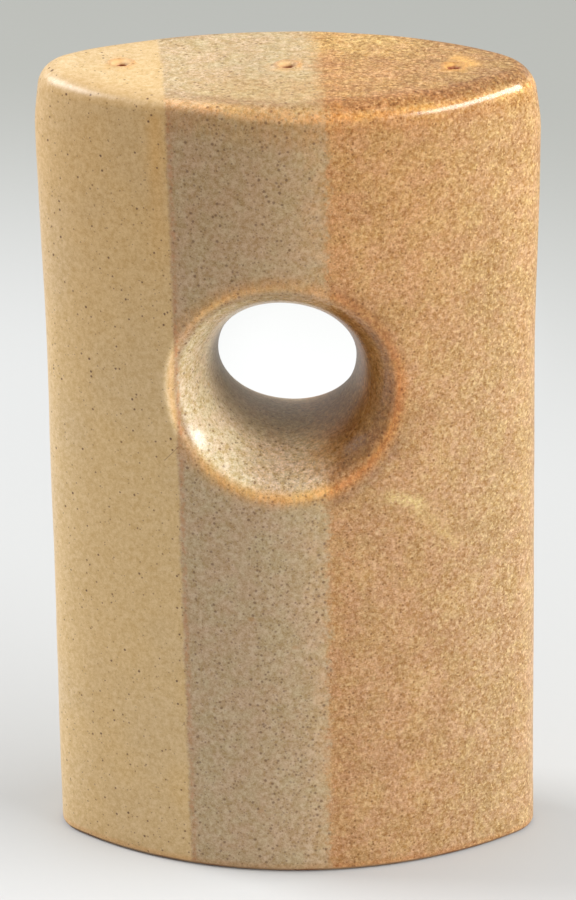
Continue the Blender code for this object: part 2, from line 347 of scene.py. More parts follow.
class GlazeMap:
    """Where a point of the casting lies, in millimetres, as the glazes need to know it."""

    def __init__(self, start, casting):
        self.place = millimetres(start)
        self.x, self.y, self.z = self.place.axes()
        self.rim = self.past_rim(casting)
        self.lip = self.past_lip(casting)
        self.holes = [self.from_hole(spot * TO_MM) for spot in casting.hole_spots()]

    def from_hole(self, spot):
        """Distance from the mouth of a pouring hole, and how far to the right of it."""
        return self.place.distance((*spot, TOP_HEIGHT)), self.x - spot.x

    def past_rim(self, casting):
        """Distance over the rim's edge: below it is positive, inwards on the top is negative."""
        crown = casting.waist.grown(casting.sizes.shoulder_flare)
        wide = abs(self.x)
        deep = abs(self.y) + crown.arc_centre * TO_MM
        from_arc = crown.arc_radius * TO_MM - wide.reach(deep)
        from_end = crown.end_radius * TO_MM - (wide - crown.end_centre * TO_MM).reach(self.y)
        on_arc = wide < deep * math.tan(crown.half_angle)
        return TOP_HEIGHT - self.z - on_arc.blend(from_end, from_arc)

    def past_lip(self, casting):
        """Distance outside the tunnel's lip: negative in the tunnel."""
        middle, lean = casting.throat_middle * TO_MM, TUNNEL_LEAN * TO_MM
        ahead = (self.y / (-BODY_HIGH.y * TO_MM)).clamped(-1)
        across = self.x - middle.x - ahead * lean.x
        return across.reach(self.z - middle.y - ahead * lean.y) - casting.sizes.lip_radius * TO_MM

    def past_border(self, border, stray):
        """Distance past a border between glazes, towards the rust end."""
        middle, lean_y, lean_z = border
        return self.x - (self.y * lean_y + (self.z - MID_HEIGHT) * lean_z + middle) + stray

    def stroke(self, ends, width):
        """1 on the line between two points, falling to 0 at about twice the width."""
        first, second = ends
        run = second - first
        away = self.place.shifted(-first)
        along = away.vector("DOT_PRODUCT", run / run.length_squared, out=1).clamped()
        nearest = along.node("VectorMath", {"operation": "SCALE"}, {0: run, "Scale": along})
        return away.distance(nearest).bell(0, width)


def mottled(grain, base, spread):
    """A colour that the grain makes darker and lighter."""
    return grain.mix(lifted(base, -spread), lifted(base, spread))


def tinged(place, surface, scale, first, second):
    """A colour that drifts from one tint to another in soft patches."""
    drift = place.shifted((3, 5, 8)).noise(scale, 3, 0.7).step(0.36, 0.64)
    return surface.stretched(drift.mix(first, second))


def cream_layer(at, look):
    """Satin cream with sparse iron specks, and painted sheen at the narrow left end: returns colour and
    specks.
    """
    place = at.place
    grain = place.grain(1.3)
    drift = place.noise(0.07, 2).step(0.4, 0.62)
    base = drift.mix(mottled(grain, look.cream, 12), mottled(grain, look.cream_warm, 12))
    # Painted sheen: the cream is lighter towards the narrow left end, where light glances off the turning
    # wall
    base = base.tinted(at.x.step(-25.5, -31.5), (1.17, 1.22, 1.35))
    iron = place.specks(0.92, 0.21, 0.85).most(place.shifted((9, 4, 2)).specks(1.4, 0.15, 0.8) * 0.6)
    return (iron * 0.92).mix(base, look.speck), iron


def grey_layer(at, look, past):
    """Curdled grey, thick with brown specks, mauve beside the cream and paler beside the rust."""
    place = at.place
    base = mottled(place.grain(1.3), look.grey, 19)
    curd = place.noise(1.7, 3, 0.7).step(0.52, 0.68)
    base = (curd * 0.2).mix(base, look.grey_pale)
    olive = place.noise(0.13, 2).step(0.42, 0.62) * at.lip.step(-3, 1)
    base = base.tinted(olive * 0.6, (1, 1.05, 1.04))
    base = past.step(7, 19).mix(base.scaled(0.95), base.scaled(1.07))
    base = tinged(place, base, 0.32, (1.02, 0.99, 1.01), (0.98, 1.01, 0.98))
    warm = past.step(14.5, 19) * place.noise(0.5, 3, 0.7).step(0.34, 0.66)
    base = base.tinted(warm * 0.8, at.rim.step(-1, 1).mix((0.95, 0.88, 0.8), (1.17, 1.07, 0.95)))
    fleck = place.shifted((5, 2, 8)).stretched((0.6, 1, 1)).specks(0.3, 0.4, 0.3)
    base = (fleck * 0.5).mix(base, look.rust_red)
    fine = place.shifted((3, 8, 5)).specks(2, 0.17, 0.9) * 0.75
    iron = place.shifted((7, 1, 3)).specks(1.25, 0.25, 0.8).most(fine)
    return (iron * 0.66).mix(base, look.speck), iron


def rust_layer(at, look, past):
    """Rust broken up by golden crystals and brown pits, more orange beside the grey, with painted sheen at
    the narrow right end.
    """
    place = at.place
    clouds = place.shifted((4, 9, 1))
    grain = place.grain(1.6)
    patch = place.noise(0.22, 2) - 0.5
    hue = (clouds.noise(1.9, 3, 0.8) + patch * 0.3).step(0.34, 0.66)
    base = hue.mix(mottled(grain, look.rust_red, 24), mottled(grain, look.rust, 24))
    base = base.tinted(past.step(6, 0) * 0.8, (1, 0.92, 0.82))
    right = past.step(8, 26)
    base = base.tinted(right, (0.96, 1.06, 1.15))
    crystal = clouds.noise(2.4, 2, 0.6).step(0.54, 0.68)
    base = (crystal * (0.34 + right * 0.34)).mix(base, look.rust_gold)
    base = tinged(place, base, 0.3, (1.01, 0.98, 1.05), (0.99, 1.02, 0.95))
    # Painted sheen: the rust is lighter towards the narrow right end
    base = base.tinted(at.x.step(25, 31), (1.08, 1.07, 1.08))
    iron = place.shifted((2, 6, 9)).specks(1.8, 0.2, 0.65)
    return (iron * (0.95 - right * 0.15)).mix(base, look.rust_brown), iron


def border_line(at, surface, past_cream, look):
    """A broken reddish line where the cream overlaps the grey."""
    broken = at.place.noise(1.6, 3, 0.7).step(0.4, 0.62)
    line = past_cream.bell(0.38, 0.32) * (0.08 + broken * 0.62) * at.rim.step(-0.5, 2)
    return line.mix(surface, look.border)


def shaded_and_browner_upwards(at, surface, bands, past_cream):
    """Towards the rim cream and grey turn browner and darker, cream most beside the grey, and rust more
    orange; the darkening of cream and grey is partly painted shade, standing for the light that the table
    throws on the lower wall.
    """
    # Cream and grey darker upwards: partly browner glaze, partly painted shade
    surface = surface.tinted(at.z.step(50, 106), bands.rust.mix((0.94, 0.88, 0.8), (1.08, 1.01, 0.88)))
    beside_grey = past_cream.bell(-1.4, 1.2) * bands.cream * at.z.step(80, 104) * at.rim.step(0.5, 2.5)
    return surface.tinted(beside_grey * 0.8, (1.06, 0.94, 0.7))


def thin_on_top(at, surface, bands):
    """Glaze runs off the top, where cream and grey are paler, and grey and rust curdle."""
    on_top = at.rim.step(1, -1)
    grey_or_rust = bands.rust.mix((1.26, 1.42, 1.54), (0.94, 0.96, 0.95))
    surface = surface.tinted(on_top, bands.cream.mix(grey_or_rust, (1.26, 1.4, 1.68)))
    rust_end = bands.rust * at.x.step(12, 26)
    surface = surface.tinted(on_top * rust_end, (0.86, 0.82, 0.8))
    beside_cream = bands.grey * at.x.step(-2, -10)
    surface = surface.tinted(on_top * beside_cream, (1.14, 1.14, 1.15))
    cream_edge = bands.cream * at.rim.step(-5, -1.5)
    surface = surface.tinted(on_top * cream_edge, (0.91, 0.86, 0.77))
    rust_back = bands.rust * at.x.step(22, 12) * at.y.step(0, 8)
    surface = surface.tinted(on_top * rust_back, (1.14, 1.27, 1.24))
    curd = at.place.shifted((1, 7, 3)).noise(1.4, 3, 0.8).step(0.34, 0.66)
    dark = bands.rust.mix((0.85, 0.84, 0.8), (0.7, 0.66, 0.56))
    light = bands.rust.mix((1.15, 1.16, 1.2), (1.28, 1.34, 1.44))
    surface = surface.tinted(on_top * (1 - bands.cream), curd.mix(dark, light))
    grey_front = bands.grey * at.y.step(-1, -8) * at.x.step(-15, -5)
    return surface.tinted(on_top * grey_front, (0.95, 0.87, 0.74))


def break_over_rim(at, surface, bands, fibre):
    """Grey turns tan over the rim, and rust turns red on the top, golden on the edge and brown below it."""
    strand = 0.3 + fibre * 1.1
    edge = at.rim + at.x.step(2, -15) * 1.4 - 0.9
    tan = edge.step(-5, -2.6) * edge.step(5.5, 2.5) * bands.grey * strand
    peak = at.x.step(-5, -13).mix((1.5, 1.24, 0.92), (1.32, 1.08, 0.92))
    crest = edge.step(-2.8, 0.2).mix((0.76, 0.67, 0.64), peak)
    surface = surface.tinted(tan, edge.step(0.2, 1.5).mix(crest, (1.02, 0.91, 0.74)))
    rusty = bands.rust * strand
    red = at.rim.step(-4.2, -2.6) * at.rim.step(0.3, -0.7)
    surface = surface.tinted(red * rusty, (0.84, 0.7, 0.57))
    surface = surface.tinted(at.rim.bell(1, 0.9) * rusty, (1.36, 1.25, 0.94))
    return surface.tinted(at.rim.bell(3, 0.8) * rusty * 0.7, (0.98, 0.86, 0.72))


def tunnel_coat_and_shading(at, surface, bands):
    """Inside the tunnel the grey is lighter near the mouth, most on the left where the light falls, which is
    painted light; rust is darker and browner, and both are darker in the throat, which is painted shade.
    """
    left = at.x.step(-1, -9)
    sill = at.z.step(62.5, 60)
    by_grey = at.x.step(11, 7)
    grey_side = (at.lip - sill * 0.5).step(-0.9, -1.9)
    rust_side = (at.lip + by_grey * 0.7).step(0.2, -0.9)
    deep = at.lip.step(-4.2, -5.8)
    # Painted light near the mouth, strongest on the left wall, and painted shade deep in the throat; the rust
    # has painted shade only
    grey_light_and_shade = deep.mix(left.mix((1.37, 1.44, 1.58), (1.87, 2.18, 2.5)), (0.72, 0.71, 0.53))
    rust_shade = deep.mix((0.66, 0.54, 0.38), (0.63, 0.64, 0.53))
    curd = at.place.noise(2, 3, 0.8).step(0.34, 0.66) - 0.5
    tint = bands.rust.mix(grey_light_and_shade, rust_shade).scaled(curd * (0.4 - left * 0.3) + 1)
    return surface.tinted(bands.rust.blend(grey_side, rust_side), tint)


def lip_break_highlight_and_shade(at, surface, bands, fibre):
    """Over the tunnel's lip grey turns golden and rust orange; the light line on the cream at the lip is a
    painted highlight, and the dark band round the lip on the rust is painted shade.
    """
    lip = at.lip
    sill = at.z.step(62.5, 60)
    strand = 0.6 + fibre * 0.5
    # Painted highlight: a light line on the cream at the lip
    surface = surface.tinted(lip.bell(0.1, 0.36) * bands.cream * 0.8, (1.42, 1.56, 1.8))
    surface = surface.tinted(lip.bell(0.6, 0.9) * (1 - bands.cream) * strand, (1.1, 0.93, 0.72))
    # Painted shade: a dark band just outside the lip on the rust, broken off at the sides
    lip_shade = (lip - at.z.step(60, 76).blend(1.8, 0.9)).bell(0, 1) * abs(at.z - LIP_SHADE_GAP).step(2, 8)
    surface = surface.tinted(lip_shade * bands.rust * strand, (0.74, 0.72, 0.76))
    from_ring = lip - at.x.step(-14, -9).blend(-0.5, -0.2)
    ring = bands.rust.blend((from_ring / sill.blend(0.55, 0.72)).bell(0, 1), lip.bell(0.25, 0.7))
    dull = at.z.step(66, 80) * at.x.step(-12, 2) * 0.7
    gold = at.x.step(-9, -14).mix((1.68, 1.44, 0.97), (1.5, 1.4, 1.4))
    orange = at.x.step(11, 7).mix((0.84, 0.65, 0.4), (1.12, 0.95, 0.72))
    return surface.tinted(ring * (1 - dull) * (0.75 + fibre * 0.35), bands.rust.mix(gold, orange))


def burn_and_shade_craters(at, surface, look):
    """Clay shows peach round each pouring hole and lines its crater; the crater's left wall is lighter, which
    is painted light, and its right wall and depths are darker, which is painted shade.
    """
    below = TOP_HEIGHT - at.z
    patchy = at.place.noise(0.7, 2).step(0.4, 0.7)
    on_rust = at.x.step(10, 20)
    clay = on_rust.mix(look.pale_clay, look.honey)
    for hole, across in at.holes:
        surface = (hole.step(3.4, 1.6) * 0.45 * patchy).mix(surface, look.honey)
        surface = (hole.bell(1.55, 0.3) * 0.4).mix(surface, look.breaking)
        # Painted light on the crater's left wall; painted shade on its right wall and deeper down
        left = across.step(0.7, -0.3)
        inside = hole.step(1.5, 1.1)
        surface = (inside * (0.3 + left * 0.5)).mix(surface, clay)
        surface = (inside * below.step(0.05, 0.35) * (0.8 - left * 0.5)).mix(surface, look.rust_brown)
        # Painted shade deep in each hole, over its bare clay
        surface = (hole.step(3, 1.4) * (below + on_rust * 0.12).step(0.3, 0.5)).mix(surface, look.deep_hole_shade)
    return surface


def hand_marks_and_highlight(at, surface, look):
    """What sets this one shaker apart: golden smears, a scratch, a chip and a wiped foot, with a painted
    highlight low in the tunnel.
    """
    place = at.place
    broken = 0.1 + place.noise(2.4, 3, 0.8).step(0.38, 0.62) * 0.9
    # Painted highlight: a lilac reflection low on the right in the tunnel
    surface = (at.stroke(FUNNEL_HIGHLIGHT, 0.8) * (0.15 + broken * 0.35)).mix(surface, look.pool)
    smear = at.stroke(GOLD_SMEAR, 1) * 1.1 + at.stroke(GOLD_TAIL, 0.9) * 0.5
    gold = place.grain(2).mix(lifted(look.rust_gold, -44), lifted(look.rust_gold, 4))
    surface = (smear * broken).mix(surface, gold.stretched((0.98, 1.04, 0.96)))
    surface = (at.stroke(GOLD_PATCH, 1.2) * (0.35 + broken * 0.65)).mix(surface, look.honey)
    surface = (at.stroke(SCRATCH, 0.06) * 0.6).mix(surface, look.speck)
    surface = (place.distance(RIM_CHIP).step(0.34, 0.2) * 0.8).mix(surface, look.speck)
    return surface.tinted(at.z.step(1.5, 0.7) * 0.8, (1.02, 0.86, 0.7))


def banded_glaze(casting, look):
    """The three dipped glazes, one beside the other, breaking to orange over every edge."""
    material, shader, start = new_material("banded_glaze")
    at = GlazeMap(start, casting)
    place = at.place
    stray = (place.noise(0.3, 2) - 0.5) * 0.7 + (place.noise(2.5, 2) - 0.5) * 0.5
    ragged = (place.noise(0.5, 2) - 0.5) * 1.6 + (place.noise(1.5, 3, 0.8) - 0.5) * 4
    on_top = at.rim.step(0, -3)
    past_cream = at.past_border(CREAM_BORDER, stray)
    past_grey = at.past_border(RUST_BORDER, ragged + on_top * 0.4)
    softness = at.lip.step(-0.5, -3).blend(0.6, 3.5) + on_top
    is_cream = past_cream.step(0.3, -0.3)
    is_rust = (past_grey / softness).step(-1, 1)
    bands = Bands(is_cream, (1 - is_rust) * (1 - is_cream), is_rust)

    cream, cream_iron = cream_layer(at, look)
    grey, grey_iron = grey_layer(at, look, past_cream)
    rust, rust_iron = rust_layer(at, look, past_grey)
    surface = is_cream.mix(is_rust.mix(grey, rust), cream)
    surface = border_line(at, surface, past_cream, look)
    surface = shaded_and_browner_upwards(at, surface, bands, past_cream)
    surface = thin_on_top(at, surface, bands)
    fibre = place.stretched((1, 1, 0.25)).noise(2.4, 3, 0.7).step(0.32, 0.68)
    surface = break_over_rim(at, surface, bands, fibre)
    surface = tunnel_coat_and_shading(at, surface, bands)
    surface = lip_break_highlight_and_shade(at, surface, bands, fibre)
    surface = burn_and_shade_craters(at, surface, look)
    feed(shader, "Base Color", hand_marks_and_highlight(at, surface, look))

    rim_polish = 0.03 + at.x.step(-6, 25) * 0.24
    polish = at.rim.bell(0.5, 3) * rim_polish + at.lip.bell(-2, 2.6) * 0.2
    feed(shader, "Roughness", 0.42 - polish + on_top * 0.2)
    shader.inputs["Specular IOR Level"].default_value = 0.55
    iron = is_cream.blend(is_rust.blend(grey_iron, rust_iron), cream_iron)
    roughen(shader, place.noise(0.55, 2) * 0.6 - iron * 0.05, 0.35, 0.15 * MM)
    return material


def bare_clay(look):
    """Unglazed stoneware of the foot and the inside."""
    material, shader, start = new_material("bare_stoneware")
    place = millimetres(start)
    toast = place.noise(0.12, 3, 0.6).step(0.35, 0.7)
    base = toast.mix(look.clay, look.clay_toast)
    grit = place.noise(4, 3, 0.7)
    base = grit.step(0.3, 0.8).mix(base.scaled(0.86), base)
    iron = place.specks(1.1, 0.16, 0.6)
    feed(shader, "Base Color", (iron * 0.7).mix(base, look.speck))
    feed(shader, "Roughness", 0.78 + grit * 0.2)
    roughen(shader, grit, 0.5, 0.12 * MM)
    return material


def cork_bark(look):
    """Granular cork with dark pores that run across it."""
    material, shader, start = new_material("cork_bark")
    place = millimetres(start)
    cell = place.node("TexVoronoi", None, {"Vector": place, "Scale": 1.6})
    grain, _, _ = cell.also("Color").axes()
    pore = place.stretched((0.35, 1.4, 1.4)).noise(0.9, 3, 0.7).step(0.6, 0.72)
    mottle = (grain * 0.5 + place.noise(0.5, 3) * 0.5).step(0.2, 0.85)
    base = mottle.mix(tuple(share * 0.72 for share in look.cork), look.cork)
    feed(shader, "Base Color", pore.mix(base, look.cork_dark))
    feed(shader, "Roughness", 0.82 + pore * 0.12)
    roughen(shader, place.noise(1.2, 3, 0.6) - pore, 0.6, 0.2 * MM)
    return material


# Plan outline and loft

class Lens:
    """Two wide arcs joined by two small end arcs, all tangent to each other."""

    def __init__(self, length, thickness, end_radius):
        self.end_radius = end_radius
        self.end_centre = length / 2 - end_radius
        half = thickness / 2
        reach = self.end_centre**2 + half**2 - end_radius**2
        self.arc_radius = reach / (2 * (half - end_radius))
        self.arc_centre = self.arc_radius - half
        self.half_angle = math.atan2(self.end_centre, self.arc_centre)

    def grown(self, by):
        """The lens moved outwards by a distance, or inwards if it is negative."""
        made = copy.copy(self)
        made.arc_radius += by
        made.end_radius += by
        return made

    def half_depth(self, x):
        """Distance in Y from the middle plane to the wide arc, at x."""
        return math.sqrt(self.arc_radius**2 - x**2) - self.arc_centre

    def share(self, x):
        """Where on the wide arc x lies: -1 and 1 are its ends."""
        return math.asin(x / self.arc_radius) / self.half_angle

    def outline(self, shares, end_steps):
        """Points anticlockwise from above, starting at the left of the front arc."""
        half = []
        for share in shares:
            turn = share * self.half_angle
            down = self.arc_radius * math.cos(turn)
            half.append((self.arc_radius * math.sin(turn), self.arc_centre - down))
        for step in range(1, end_steps):
            turn = self.half_angle + (math.pi - 2 * self.half_angle) * step / end_steps
            across = self.end_radius * math.sin(turn)
            half.append((self.end_centre + across, -self.end_radius * math.cos(turn)))
        return half + [(-x, -y) for x, y in half]


def divided(low, high, count):
    """Count even steps from low up to, but not including, high."""
    return [low + (high - low) * i / count for i in range(count)]


def quarter_arc(radius, steps):
    """(across, up) from the tangent point beside the centre to the one above it."""
    turns = [math.pi / 2 * i / steps for i in range(steps + 1)]
    return [(radius * math.cos(turn), radius * math.sin(turn)) for turn in turns]


def bridge(bm, first, second):
    """Quads between two closed rings of as many points each."""
    for a, b, c, d in zip(first, first[1:] + first[:1], second[1:] + second[:1], second):
        bm.faces.new((a, b, c, d))


def bridge_all(bm, rings):
    for first, second in zip(rings, rings[1:]):
        bridge(bm, first, second)


def block_border(grid, rows, columns):
    """Points round a block of a grid, along its first row, up its last column and back."""
    return ([grid[rows[0]][c] for c in columns[:-1]] + [grid[r][columns[-1]] for r in rows[:-1]]
            + [grid[rows[-1]][c] for c in reversed(columns[1:])]
            + [grid[r][columns[0]] for r in reversed(rows[1:])])


def circle(bm, radius, z, steps):
    """A ring of new points round Z."""
    turns = divided(0, 2 * math.pi, steps)
    return [bm.verts.new((radius * math.cos(turn), radius * math.sin(turn), z)) for turn in turns]


def turned(profile, steps):
    """A bmesh turned about Z from (radius, z) points that run upwards."""
    bm = bmesh.new()
    rings = [circle(bm, radius, z, steps) for radius, z in profile]
    bridge_all(bm, rings)
    bm.faces.new(reversed(rings[0]))
    bm.faces.new(rings[-1])
    return bm


# Casting

Grain = namedtuple("Grain", "side patch span end below above arc rim collar trumpet across")
OUTSIDE_GRAIN = Grain(side=6, patch=8, span=18, end=16, below=26, above=14, arc=5, rim=12,
                      collar=6, trumpet=48, across=20)
CHAMBER_GRAIN = Grain(side=2, patch=2, span=5, end=6, below=4, above=3, arc=4, rim=4,
                      collar=2, trumpet=16, across=2)
GLAZED, BARE = 0, 1
HOLE_PATCH = 3 * MM  # half side of the finer patch round a pouring hole
HOLE_STRAYS = (0.14, 0.46), (0.17, -0.14), (0.18, -0.74)  # mm in x and y, as the holes were poked by hand
CRATER_DIP = 0.42 * MM
CRATER_BURR = 0.14 * MM
CUTTER_MARGIN = 1 * MM
FOOT_INNER_EDGE = 0.5 * MM
RECESS_END_RADIUS = 2.2 * MM
CHAMBER_END_RADIUS = 2.6 * MM
CHAMBER_FILLET = 2 * MM
SLEEVE_FLARE = 4 * MM
SLEEVE_WINDOW = 1.15  # half side of the chamber's window round the sleeve, in lip radii
RIM_CHANGE = -16 * MM, 10 * MM  # the front rim's rounding changes between these two places along x
STILL_FOOT = 3 * MM, 9 * MM  # the wall's wobble sets in between these heights
SLOW_WOBBLE, QUICK_WOBBLE = 45, 160  # per metre
PINCH_DEPTH = 8.2 * MM
PINCH_FROM, LIFT_FROM, DROP_FROM = 0.7, 0.55, 0.83  # where each warp sets in, in shares of the half length
LIFT_FRONT = -9 * MM  # the cream end's lift dies out towards the front, at this y
TRUMPET_POWER = 1.8  # 2 gives a round flare; less gives a straighter one with a crisper lip
THROAT_STRAY = Vector((-0.4, -0.2)) * MM  # off the opening's middle, along x and z
TUNNEL_LEAN = Vector((-0.35, 0.7)) * MM  # from the throat's middle to the front lip's
FILL_TAPER = 0.09
FILL_EDGE = 0.5 * MM
FILL_STEPS = 72
CORK_EDGE = 0.6 * MM
CORK_STEPS = 96
CORK_RINGS = 26
SHARP_ANGLE = math.radians(40)


def eased(value, low, high):
    """0 at low and 1 at high, smooth between them."""
    share = min(max((value - low) / (high - low), 0), 1)
    return share * share * (3 - 2 * share)


class Skin:
    """Rings of points up the casting, outside it or in its chamber, with the tunnel through them."""

    def __init__(self, casting, lens, throat, lip, window, grain):
        self.casting, self.lens, self.grain = casting, lens, grain
        self.throat, self.lip, self.window = throat, lip, window
        self.across = 2 * grain.span + grain.patch
        self.bm = bmesh.new()
        self.shares = self.columns()
        self.loops = []

    def columns(self):
        """Columns of a wide arc: patches in line with the pouring holes, spans between, sides beyond."""
        grain, pitch = self.grain, self.casting.sizes.pour_pitch
        patch = pitch - self.window
        edges = [-pitch - patch, -self.window, -patch, patch, self.window, pitch + patch]
        marks = [-1, *(self.lens.share(x) for x in edges), 1]
        counts = [grain.side, grain.patch, grain.span, grain.patch, grain.span, grain.patch, grain.side]
        made = []
        for low, high, count in zip(marks, marks[1:], counts):
            made += divided(low, high, count)
        return made + [1]

    def ring(self, lens, z):
        return [Vector((x, y, z)) for x, y in lens.outline(self.shares, self.grain.end)]

    def wall(self, low, high):
        """Rings up the wall, in rows that suit the tunnel's window."""
        middle = self.casting.tunnel_height
        bottom, top = middle - self.window, middle + self.window
        heights = divided(low, bottom, self.grain.below) + divided(bottom, top, self.across)
        heights += divided(top, high, self.grain.above) + [high]
        return [self.ring(self.lens.grown(self.casting.flare(z)), z) for z in heights]

    def wall_depth(self, x, z):
        return self.lens.grown(self.casting.flare(z)).half_depth(x)

    def loft(self, low_rings, low, high, high_rings):
        """Faces between the rings, with the bottom closed, the tunnel bored and the top left open."""
        bm, grain = self.bm, self.grain
        for ring in low_rings + self.wall(low, high) + high_rings:
            self.loops.append([bm.verts.new(place) for place in ring])
        around = len(self.loops[0])
        first_row = len(low_rings) + grain.below
        rows = range(first_row, first_row + self.across + 1)
        first_column = grain.side + grain.patch
        front = range(first_column, first_column + self.across + 1)
        back = [c + around // 2 for c in front]
        missing = set(front[:-1]) | set(back[:-1])
        for row, (below, above) in enumerate(zip(self.loops, self.loops[1:])):
            for c in range(around):
                if row not in rows[:-1] or c not in missing:
                    k = (c + 1) % around
                    face = bm.faces.new((below[c], below[k], above[k], above[c]))
                    face.material_index = BARE if row < len(low_rings) - 1 else GLAZED
        bm.faces.new(reversed(self.loops[0])).material_index = BARE
        self.bore(block_border(self.loops, rows, front), block_border(self.loops, rows, list(reversed(back))))

    def bore(self, front, back):
        """The tunnel's skin, from its window in the front through the throat to its window in the back."""
        count = len(front)
        turns = [2 * math.pi * k / count - 3 * math.pi / 4 for k in range(count)]
        aims = [Vector((math.cos(turn), math.sin(turn))) for turn in turns]
        casting, grain = self.casting, self.grain

        def round_lip(side):
            middle = casting.throat_middle - TUNNEL_LEAN * side
            return [middle + aim * self.lip for aim in aims]

        def collar(border, side):
            made = []
            for step in range(1, grain.collar + 1):
                share = 1 - (1 - step / grain.collar) ** 1.5
                flat = [Vector((v.co.x, v.co.z)).lerp(end, share) for v, end in zip(border, round_lip(side))]
                made.append([self.bm.verts.new((x, side * self.wall_depth(x, z), z)) for x, z in flat])
            return made

        trumpet = []
        for step in range(1, grain.trumpet):
            depth = -math.cos(math.pi * step / grain.trumpet)
            widening = 1 - (1 - abs(depth) ** TRUMPET_POWER) ** (1 / TRUMPET_POWER)
            radius = self.throat + (self.lip - self.throat) * widening
            middle = casting.throat_middle - TUNNEL_LEAN * depth
            ring = []
            for aim, (x, z) in zip(aims, round_lip(math.copysign(1, depth))):
                spot = middle + aim * radius
                ring.append(self.bm.verts.new((spot.x, self.wall_depth(x, z) * depth, spot.y)))
            trumpet.append(ring)
        bridge_all(self.bm, [front, *collar(front, -1), *trumpet, *collar(back, 1)[::-1], back])


class Top:
    """The flat top as a grid of columns from front to back, with a crater for each pouring hole."""

    def __init__(self, skin, casting):
        self.skin, self.casting = skin, casting
        self.bm, self.grain = skin.bm, skin.grain
        self.loop = skin.loops[-1]
        self.columns = self.ring_pairs()
        self.grid = []

    def ring_pairs(self):
        """(front point, back point, x of the column on the middle line) from the left tip to the right."""
        loop, grain, shares = self.loop, self.grain, self.skin.shares
        half, last, ends = len(loop) // 2, len(shares) - 1, range(1, grain.end // 2)
        wide = [(loop[k], loop[half + last - k]) for k in range(last + 1)]
        right = [(loop[last + j], loop[last + grain.end - j]) for j in ends]
        left = [(loop[half + last + grain.end - j], loop[half + last + j]) for j in ends]
        lens = self.skin.lens
        middles = [lens.arc_radius * math.sin(share * lens.half_angle) for share in shares]
        side = grain.side

        def between(pair):
            return (pair[0].co.x + pair[1].co.x) / 2

        for k in range(side):
            middles[k] = between(wide[0]) + (middles[side] - between(wide[0])) * k / side
            middles[last - k] = between(wide[-1]) + (middles[last - side] - between(wide[-1])) * k / side
        return ([(*pair, between(pair)) for pair in reversed(left)]
                + [(*pair, x) for pair, x in zip(wide, middles)]
                + [(*pair, between(pair)) for pair in right])

    def cap(self):
        """Closes the top."""
        half, last, grain = len(self.loop) // 2, len(self.skin.shares) - 1, self.grain
        tips = self.loop[half + last + grain.end // 2], self.loop[last + grain.end // 2]
        for front, back, middle in self.columns:
            column = [front]
            for step in range(1, grain.across):
                place = front.co.lerp(back.co, step / grain.across)
                t = 2 * step / grain.across - 1
                place.x += (middle - place.x) * (1 - t * t)
                column.append(self.bm.verts.new(place))
            self.grid.append(column + [back])
        gaps = [self.gap(spot) for spot in self.casting.hole_spots()]
        taken = {cell for rows, cols in gaps for cell in itertools.product(cols[:-1], rows[:-1])}
        for c, (left, right) in enumerate(zip(self.grid, self.grid[1:])):
            for r in range(grain.across):
                if (c, r) not in taken:
                    self.bm.faces.new((left[r], right[r], right[r + 1], left[r + 1]))
        for tip, column in zip(tips, (self.grid[0][::-1], self.grid[-1])):
            for a, b in zip(column, column[1:]):
                self.bm.faces.new((tip, b, a))
        by_row = [list(row) for row in zip(*self.grid)]
        for number, ((rows, cols), spot) in enumerate(zip(gaps, self.casting.hole_spots())):
            self.crater(block_border(by_row, rows, cols), spot, number)

    def gap(self, spot):
        """(rows, columns) of the gap in the grid for a pouring hole."""
        across, half = self.grain.across, self.grain.patch // 2
        c = min(range(len(self.grid)), key=lambda k: abs(self.grid[k][across // 2].co.x - spot.x))
        column = self.grid[c]
        r = min(range(across), key=lambda k: abs(column[k].co.y - spot.y))
        reach = max(round(HOLE_PATCH / (column[-1].co.y - column[0].co.y) * across), 2)
        return range(r - reach, r + reach + 1), range(c - half, c + half + 1)

    def crater(self, border, spot, number):
        """A pouring hole poked through the clay, with a raised uneven burr round its mouth."""
        sizes = self.casting.sizes
        mouth, hole = sizes.crater_radius, sizes.pour_radius
        slope, dip, burr = mouth - hole, CRATER_DIP, CRATER_BURR
        profile = [(mouth + 0.55 * MM, 0), (mouth + 0.3 * MM, burr * 0.4), (mouth + 0.12 * MM, burr * 0.9),
                   (mouth, burr), (mouth - 0.12 * MM, burr * 0.3), (hole + slope * 0.55, -dip * 0.3),
                   (hole + slope * 0.2, -dip * 0.65), (hole, -dip), (hole * 0.94, -dip * 1.5),
                   (hole * 0.94, -sizes.wall - CUTTER_MARGIN)]
        centre = Vector((spot.x, spot.y, self.casting.height))
        patch_middle = sum((v.co for v in border), Vector()) / len(border)
        rings = [border]
        for place, (radius, rise) in enumerate(profile):
            ring = []
            for vert in border:
                away = (vert.co - patch_middle).normalized()
                stray = noise.noise(away * 1.3 + Vector((7 * number, 3, place * 0.2))) if place else 0
                point = centre + away * radius * (1 + 0.25 * stray)
                ring.append(self.bm.verts.new((point.x, point.y, centre.z + rise * (1 + 0.8 * stray))))
            rings.append(ring)
        bridge_all(self.bm, rings)
        self.bm.faces.new(rings[-1])


